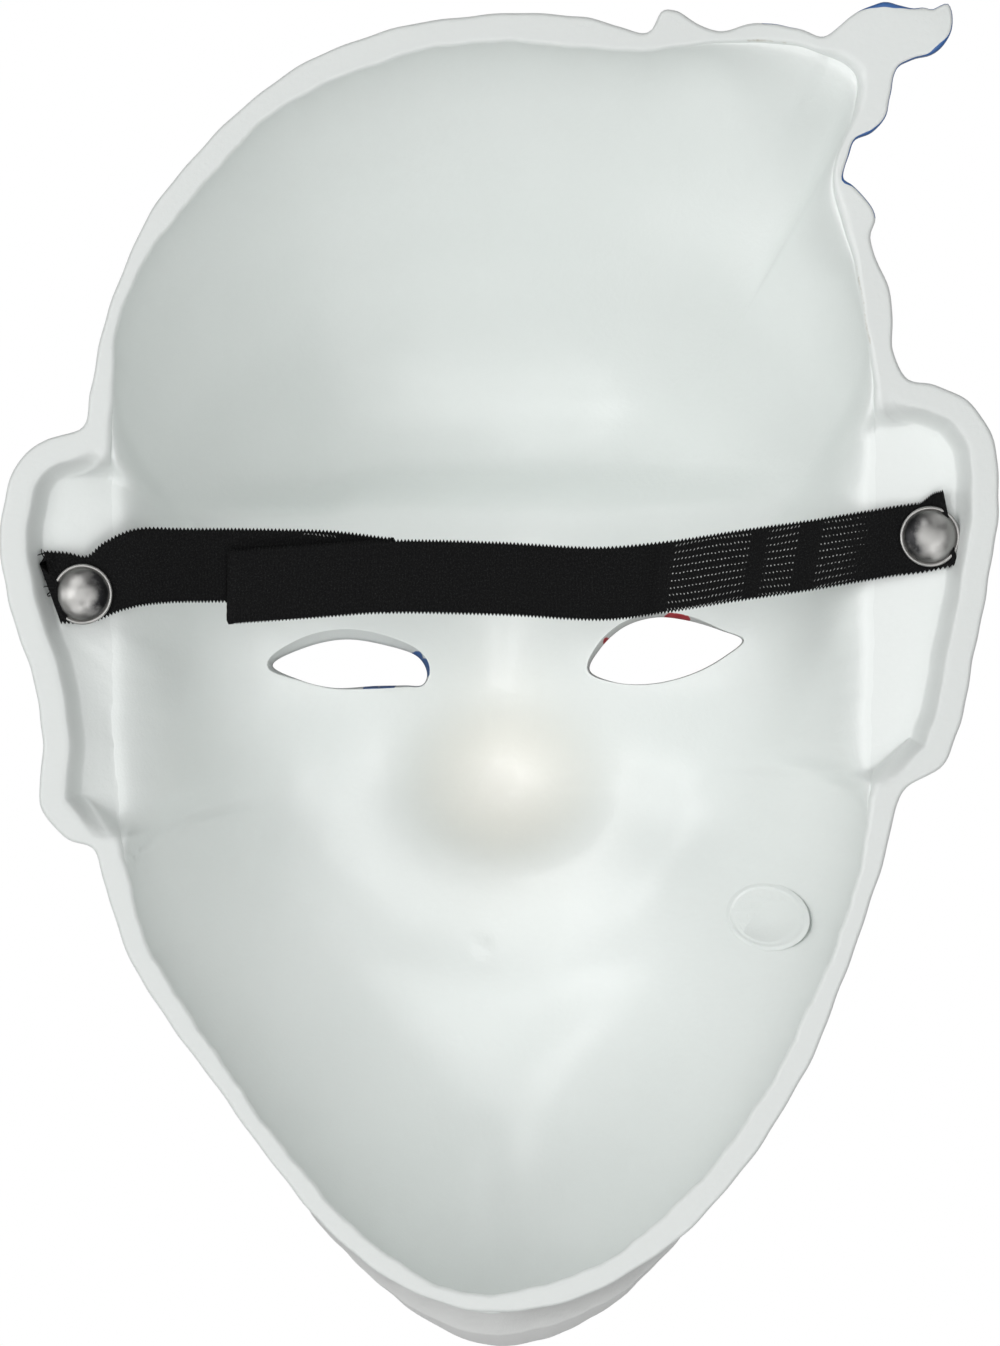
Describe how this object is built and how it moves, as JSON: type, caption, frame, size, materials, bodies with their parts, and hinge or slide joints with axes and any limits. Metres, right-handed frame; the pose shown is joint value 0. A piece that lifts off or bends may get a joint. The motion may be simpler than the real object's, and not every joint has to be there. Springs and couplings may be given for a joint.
{
  "type": "foam clown mask",
  "caption": "Moulded foam face mask of a clown, lying face down: hollow bowl with eye holes, flat rim, ears and hair tuft, and a folded elastic strap riveted to the ears.",
  "frame": {"origin": "under the middle of the mask, on the surface it lies on", "axes": "+Y towards the top of the head, +Z from the face towards the open back, +X to the wearer's right"},
  "size_m": [0.1998, 0.2712, 0.092],
  "materials": {
    "foam": "moulded foam, matt, painted in front",
    "elastic": "knitted elastic, matt black",
    "nickel": "nickel plated, lightly smudged"
  },
  "bodies": {
    "root": {"mask_shell": "foam", "elastic_strap": "elastic", "rivet_cap_left": "nickel", "rivet_post_left": "nickel", "rivet_cap_right": "nickel", "rivet_post_right": "nickel"}
  },
  "joints": []
}
